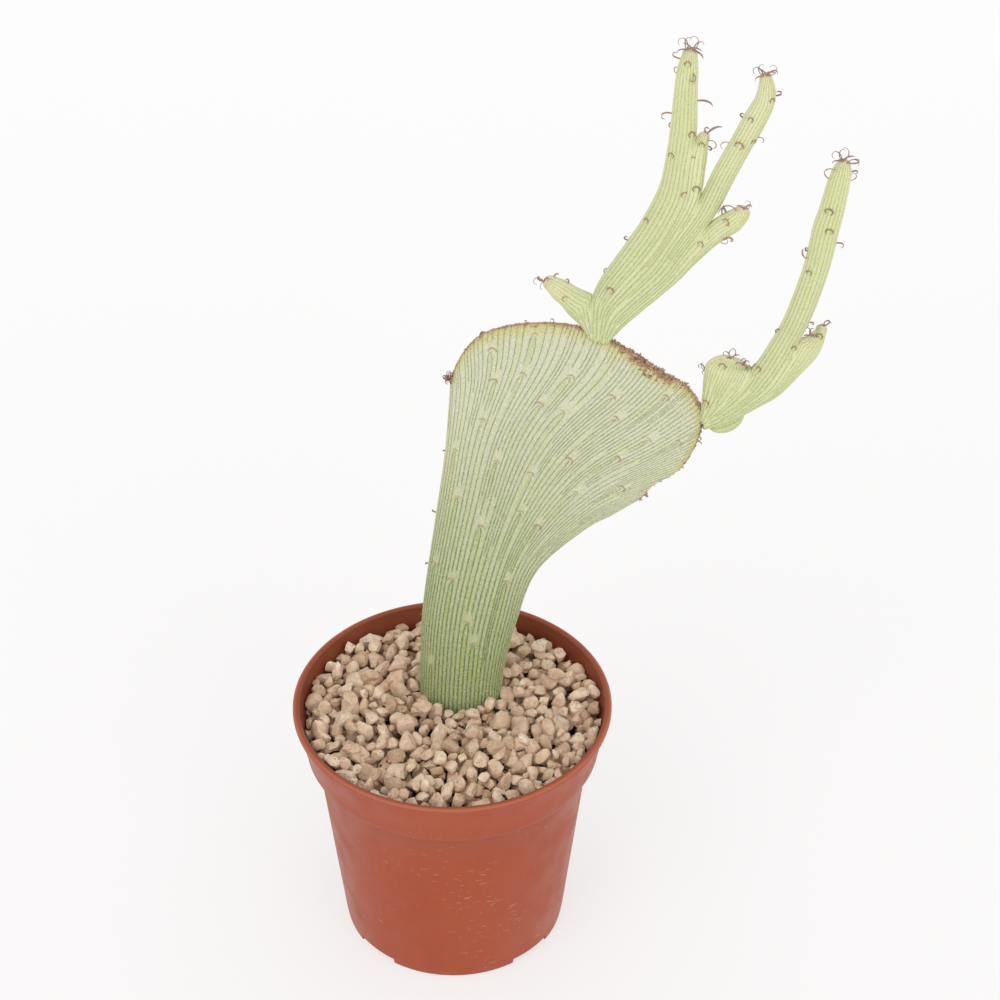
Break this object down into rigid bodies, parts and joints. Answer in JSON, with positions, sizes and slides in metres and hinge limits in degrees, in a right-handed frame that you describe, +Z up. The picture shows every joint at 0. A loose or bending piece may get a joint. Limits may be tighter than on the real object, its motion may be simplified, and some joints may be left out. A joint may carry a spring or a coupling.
{
  "type": "potted crested senecio",
  "caption": "Crested succulent with a fan-shaped stem and slender forked branches, rooted in a round tapered nursery pot topped with pumice gravel.",
  "frame": {"origin": "centre of the pot's underside, on the round pad under the middle of its floor", "axes": "+Z up along the pot's axis, -Y towards the broad face of the fan that the picture shows, +X towards the side branch"},
  "size_m": [0.1979, 0.12, 0.3689],
  "materials": {
    "terracotta_plastic": "satin moulded plastic, lightly scuffed",
    "potting_soil": "dark crumbly potting soil",
    "pumice": "dry porous pumice",
    "green_stem": "waxy, finely lined living stem",
    "green_branch": "waxy, finely lined young stem",
    "root": "dry root bark",
    "dried_leaf": "withered, curled leaf"
  },
  "bodies": {
    "root": {"pot": "terracotta_plastic", "soil": "potting_soil", "gravel_bed": "pumice", "crest_stem": "green_stem", "root_system": "root", "upper_branch": "green_branch", "side_branch": "green_branch", "upper_leaf_1": "dried_leaf", "upper_leaf_2": "dried_leaf", "upper_leaf_3": "dried_leaf", "upper_leaf_4": "dried_leaf", "upper_leaf_5": "dried_leaf", "upper_leaf_6": "dried_leaf", "upper_leaf_7": "dried_leaf", "upper_leaf_8": "dried_leaf", "upper_leaf_9": "dried_leaf", "upper_leaf_10": "dried_leaf", "upper_leaf_11": "dried_leaf", "upper_leaf_12": "dried_leaf", "upper_leaf_13": "dried_leaf", "upper_leaf_14": "dried_leaf", "upper_leaf_15": "dried_leaf", "side_leaf_1": "dried_leaf", "side_leaf_2": "dried_leaf", "side_leaf_3": "dried_leaf", "side_leaf_4": "dried_leaf", "side_leaf_5": "dried_leaf", "side_leaf_6": "dried_leaf", "side_leaf_7": "dried_leaf", "side_leaf_8": "dried_leaf", "loose_stone_1": "pumice", "loose_stone_2": "pumice", "loose_stone_3": "pumice", "loose_stone_4": "pumice", "loose_stone_5": "pumice", "loose_stone_6": "pumice", "loose_stone_7": "pumice", "loose_stone_8": "pumice", "loose_stone_9": "pumice", "loose_stone_10": "pumice", "loose_stone_11": "pumice", "loose_stone_12": "pumice", "loose_stone_13": "pumice", "loose_stone_14": "pumice", "loose_stone_15": "pumice", "loose_stone_16": "pumice", "loose_stone_17": "pumice", "loose_stone_18": "pumice"}
  },
  "joints": []
}
